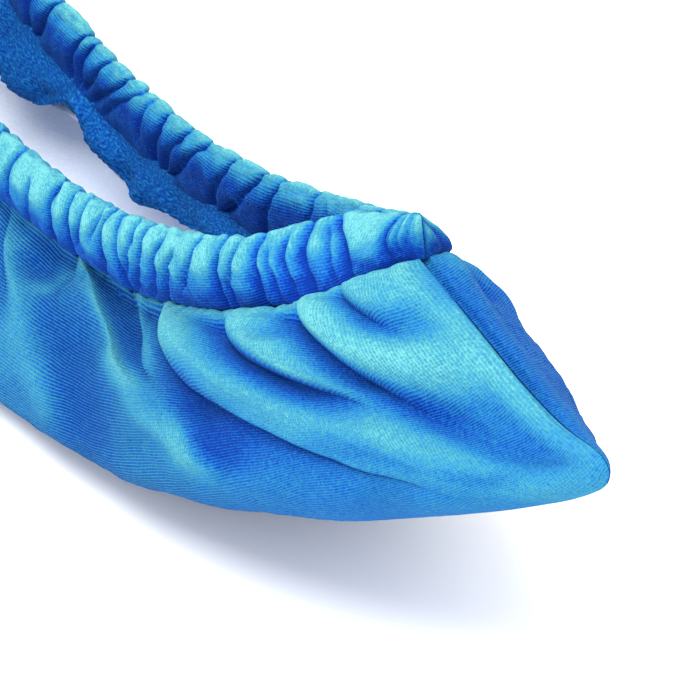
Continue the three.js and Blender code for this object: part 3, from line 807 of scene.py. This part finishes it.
# ---- Materials ----
class Shader:
    """A node material, with short calls for adding nodes and joining them."""

    def __init__(self, name):
        self.material = bpy.data.materials.new(name)
        self.material.use_nodes = True
        self.tree = self.material.node_tree
        self.surface = self.tree.nodes["Principled BSDF"]

    def node(self, kind, inputs=None, **settings):
        made = self.tree.nodes.new(f"ShaderNode{kind}")
        for key, value in settings.items():
            setattr(made, key, value)
        for key, value in (inputs or {}).items():
            self.put(made.inputs[key], value)
        return made

    def put(self, socket, value):
        if isinstance(value, bpy.types.NodeSocket):
            self.tree.links.new(value, socket)
        else:
            socket.default_value = value

    def math(self, operation, *values):
        made = self.node("Math", operation=operation)
        for socket, value in zip(made.inputs, values):
            self.put(socket, value)
        return made.outputs[0]

    def noise(self, vector, scale, detail=2.0):
        made = self.node("TexNoise", {"Vector": vector, "Scale": scale, "Detail": detail})
        return made.outputs["Fac"]

    def spread(self, value, low, high, to_low=0.0, to_high=1.0):
        made = self.node(
            "MapRange",
            {"Value": value, "From Min": low, "From Max": high, "To Min": to_low, "To Max": to_high},
        )
        return made.outputs["Result"]

    def ramp(self, value, stops):
        made = self.node("ValToRGB", {"Fac": value})
        elements = made.color_ramp.elements
        while len(elements) < len(stops):
            elements.new(0.5)
        for element, (place, colour) in zip(elements, stops):
            element.position = place
            element.color = (*colour, 1)
        return made.outputs["Color"]


# The velour's colour from painted shade at 0 to painted light at 1.
VELOUR_SHADE_TO_LIGHT = (
    (0.0, (0.001, 0.022, 0.21)),
    (0.1, (0.002, 0.035, 0.28)),
    (0.25, (0.004, 0.075, 0.32)),
    (0.5, (0.014, 0.145, 0.33)),
    (0.75, (0.038, 0.21, 0.28)),
    (1.0, (0.10, 0.34, 0.35)),
)
RIB_PITCH = 0.5  # mm


def velour_material():
    shade = Shader("velour")
    uv = shade.node("UVMap", uv_map="cloth_mm").outputs["UV"]
    where = shade.node("TexCoord").outputs["Object"]
    painted_shading = shade.node("Attribute", attribute_name="painted_shading").outputs["Fac"]
    cloud = shade.noise(where, 90, 1.0)
    wander = shade.math("MULTIPLY", shade.noise(where, 90, 1.0), 1.6)
    grain = shade.noise(where, 2200, 0.0)
    tufts = shade.noise(where, 900, 1.0)
    cloth = shade.node("SeparateXYZ", {"Vector": uv}).outputs
    waves = []
    for place in (cloth["Y"], cloth["X"]):
        bent = shade.math("ADD", place, wander)
        waves.append(shade.math("SINE", shade.math("MULTIPLY", bent, 2 * math.pi / RIB_PITCH)))
    courses = shade.math("MULTIPLY", waves[0], shade.spread(painted_shading, 0.4, 0.7, 1.1, 0.25))
    wales = shade.math("MULTIPLY", waves[1], shade.spread(painted_shading, 0.4, 0.7, 0.15, 0.6))
    depth = shade.node("Attribute", attribute_name="rib").outputs["Fac"]
    rib = shade.math("MULTIPLY", shade.math("ADD", courses, wales), depth)
    # The colour follows the painted light and shade, with the ribs and random grain on top.
    tone = painted_shading
    for layer, weight in ((rib, 0.17), (grain, 0.38), (tufts, 0.16), (cloud, 0.06)):
        middle = 0.0 if layer is rib else 0.5
        tone = shade.math("ADD", tone, shade.math("MULTIPLY", shade.math("SUBTRACT", layer, middle), weight))
    colour = shade.ramp(tone, VELOUR_SHADE_TO_LIGHT)
    relief = shade.math("ADD", shade.math("MULTIPLY", rib, 0.6), grain)
    bump = shade.node("Bump", {"Height": relief, "Strength": 1.0, "Distance": 0.0002})
    shade.put(shade.surface.inputs["Base Color"], colour)
    shade.put(shade.surface.inputs["Normal"], bump.outputs["Normal"])
    shade.put(shade.surface.inputs["Roughness"], 0.8)
    shade.put(shade.surface.inputs["Specular IOR Level"], 0.04)
    shade.put(shade.surface.inputs["Sheen Weight"], 0.13)
    shade.put(shade.surface.inputs["Sheen Roughness"], 0.4)
    shade.put(shade.surface.inputs["Sheen Tint"], (0.12, 0.6, 1.0, 1))
    return shade.material


def overlock_material():
    shade = Shader("overlock")
    where = shade.node("TexCoord").outputs["Object"]
    uv = shade.node("UVMap", uv_map="cloth_mm").outputs["UV"]
    slanted = shade.node("Mapping", {"Vector": uv, "Rotation": (0, 0, 0.6), "Scale": (0.6, 1.5, 1.0)})
    curls = shade.noise(slanted.outputs["Vector"], 2.4, 1.0)
    grain = shade.noise(where, 2400, 3.0)
    tone = shade.math("ADD", shade.math("MULTIPLY", curls, 1.1), shade.math("MULTIPLY", grain, 0.4))
    colour = shade.ramp(tone, ((0.5, (0.002, 0.03, 0.22)), (0.75, (0.003, 0.07, 0.30)), (1.0, (0.015, 0.16, 0.40))))
    height = shade.math("ADD", curls, shade.math("MULTIPLY", grain, 0.4))
    bump = shade.node("Bump", {"Height": height, "Strength": 0.8, "Distance": 0.0003})
    shade.put(shade.surface.inputs["Base Color"], colour)
    shade.put(shade.surface.inputs["Normal"], bump.outputs["Normal"])
    shade.put(shade.surface.inputs["Roughness"], 0.85)
    shade.put(shade.surface.inputs["Specular IOR Level"], 0.04)
    shade.put(shade.surface.inputs["Sheen Weight"], 0.1)
    shade.put(shade.surface.inputs["Sheen Tint"], (0.1, 0.55, 1.0, 1))
    return shade.material


def terry_material():
    shade = Shader("terry")
    where = shade.node("TexCoord").outputs["Object"]
    loops = shade.node("TexVoronoi", {"Vector": where, "Scale": 1300.0}).outputs["Distance"]
    cloud = shade.noise(where, 120, 3.0)
    tone = shade.math("ADD", shade.math("MULTIPLY", loops, 0.3), shade.math("MULTIPLY", cloud, 0.8))
    colour = shade.ramp(tone, ((0.25, (0.84, 0.89, 0.97)), (0.85, (0.74, 0.80, 0.92))))
    height = shade.math("SUBTRACT", 1.0, loops)
    bump = shade.node("Bump", {"Height": height, "Strength": 0.5, "Distance": 0.0003})
    shade.put(shade.surface.inputs["Base Color"], colour)
    shade.put(shade.surface.inputs["Normal"], bump.outputs["Normal"])
    shade.put(shade.surface.inputs["Roughness"], 0.95)
    shade.put(shade.surface.inputs["Specular IOR Level"], 0.1)
    shade.put(shade.surface.inputs["Sheen Weight"], 0.2)
    return shade.material


# ---- Stage: floor, lights and camera ----
AIM = Vector((66.2, 9.1, 27.4)) * MM
CAMERA = Sizes(azimuth=60.8, elevation=29.27, distance=959, lens=332)
FLOOR_HALF = 3.0  # metres
WORLD_STRENGTH = 1.55


def direction(azimuth, elevation):
    """The unit vector from the object towards a viewer. Azimuth 0 is on the right side, 90 at the toe."""
    a, e = math.radians(azimuth), math.radians(elevation)
    return Vector((math.sin(a) * math.cos(e), -math.cos(a) * math.cos(e), math.sin(e)))


def look_from(obj, azimuth, elevation, distance):
    back = direction(azimuth, elevation)
    obj.location = AIM + back * distance * MM
    obj.rotation_mode = "QUATERNION"
    obj.rotation_quaternion = (-back).to_track_quat("-Z", "Y")
    bpy.context.scene.collection.objects.link(obj)


def make_camera():
    data = bpy.data.cameras.new("camera")
    data.lens = CAMERA.lens
    data.sensor_width = 36
    camera = bpy.data.objects.new("camera", data)
    look_from(camera, CAMERA.azimuth, CAMERA.elevation, CAMERA.distance)
    bpy.context.scene.camera = camera


def softbox(name, azimuth, elevation, distance, size, watts):
    data = bpy.data.lights.new(name, "AREA")
    data.shape = "SQUARE"
    data.size = size * MM
    data.energy = watts
    look_from(bpy.data.objects.new(name, data), azimuth, elevation, distance)


def make_floor():
    half = FLOOR_HALF
    mesh = bpy.data.meshes.new("floor")
    corners = [(-half, -half, 0), (half, -half, 0), (half, half, 0), (-half, half, 0)]
    mesh.from_pydata(corners, [], [(0, 1, 2, 3)])
    floor = bpy.data.objects.new("floor", mesh)
    bpy.context.scene.collection.objects.link(floor)
    shade = Shader("floor")
    shade.put(shade.surface.inputs["Base Color"], (0.95, 0.95, 0.95, 1))
    shade.put(shade.surface.inputs["Roughness"], 1.0)
    mesh.materials.append(shade.material)


def make_world():
    world = bpy.data.worlds.new("studio")
    world.use_nodes = True
    background = world.node_tree.nodes["Background"]
    background.inputs["Color"].default_value = (1, 1, 1, 1)
    background.inputs["Strength"].default_value = WORLD_STRENGTH
    bpy.context.scene.world = world
    bpy.context.scene.view_settings.view_transform = "Standard"


make_camera()
make_world()
make_floor()
softbox("key", 25, 66, 900, 620, 10)
softbox("fill", 25, 12, 1200, 900, 5)

velour = velour_material()
overlock = overlock_material()
terry = terry_material()
for side, turned, creases, seed, notch in (
    ("right", False, RIGHT_CREASES, 11, None),
    ("left", True, LEFT_CREASES, 23, 0.2),
):
    pieces = {
        "shell": shell_panel(side, turned, seed),
        "casing": elastic_casing(side, turned, creases, seed + 1),
        "hem": turned_hem(side, turned, seed + 2, notch),
        "terry": terry_lining(side, turned),
    }
    cloths = {"shell": velour, "casing": velour, "hem": overlock, "terry": terry}
    for kind, piece in pieces.items():
        piece.data.materials.append(cloths[kind])
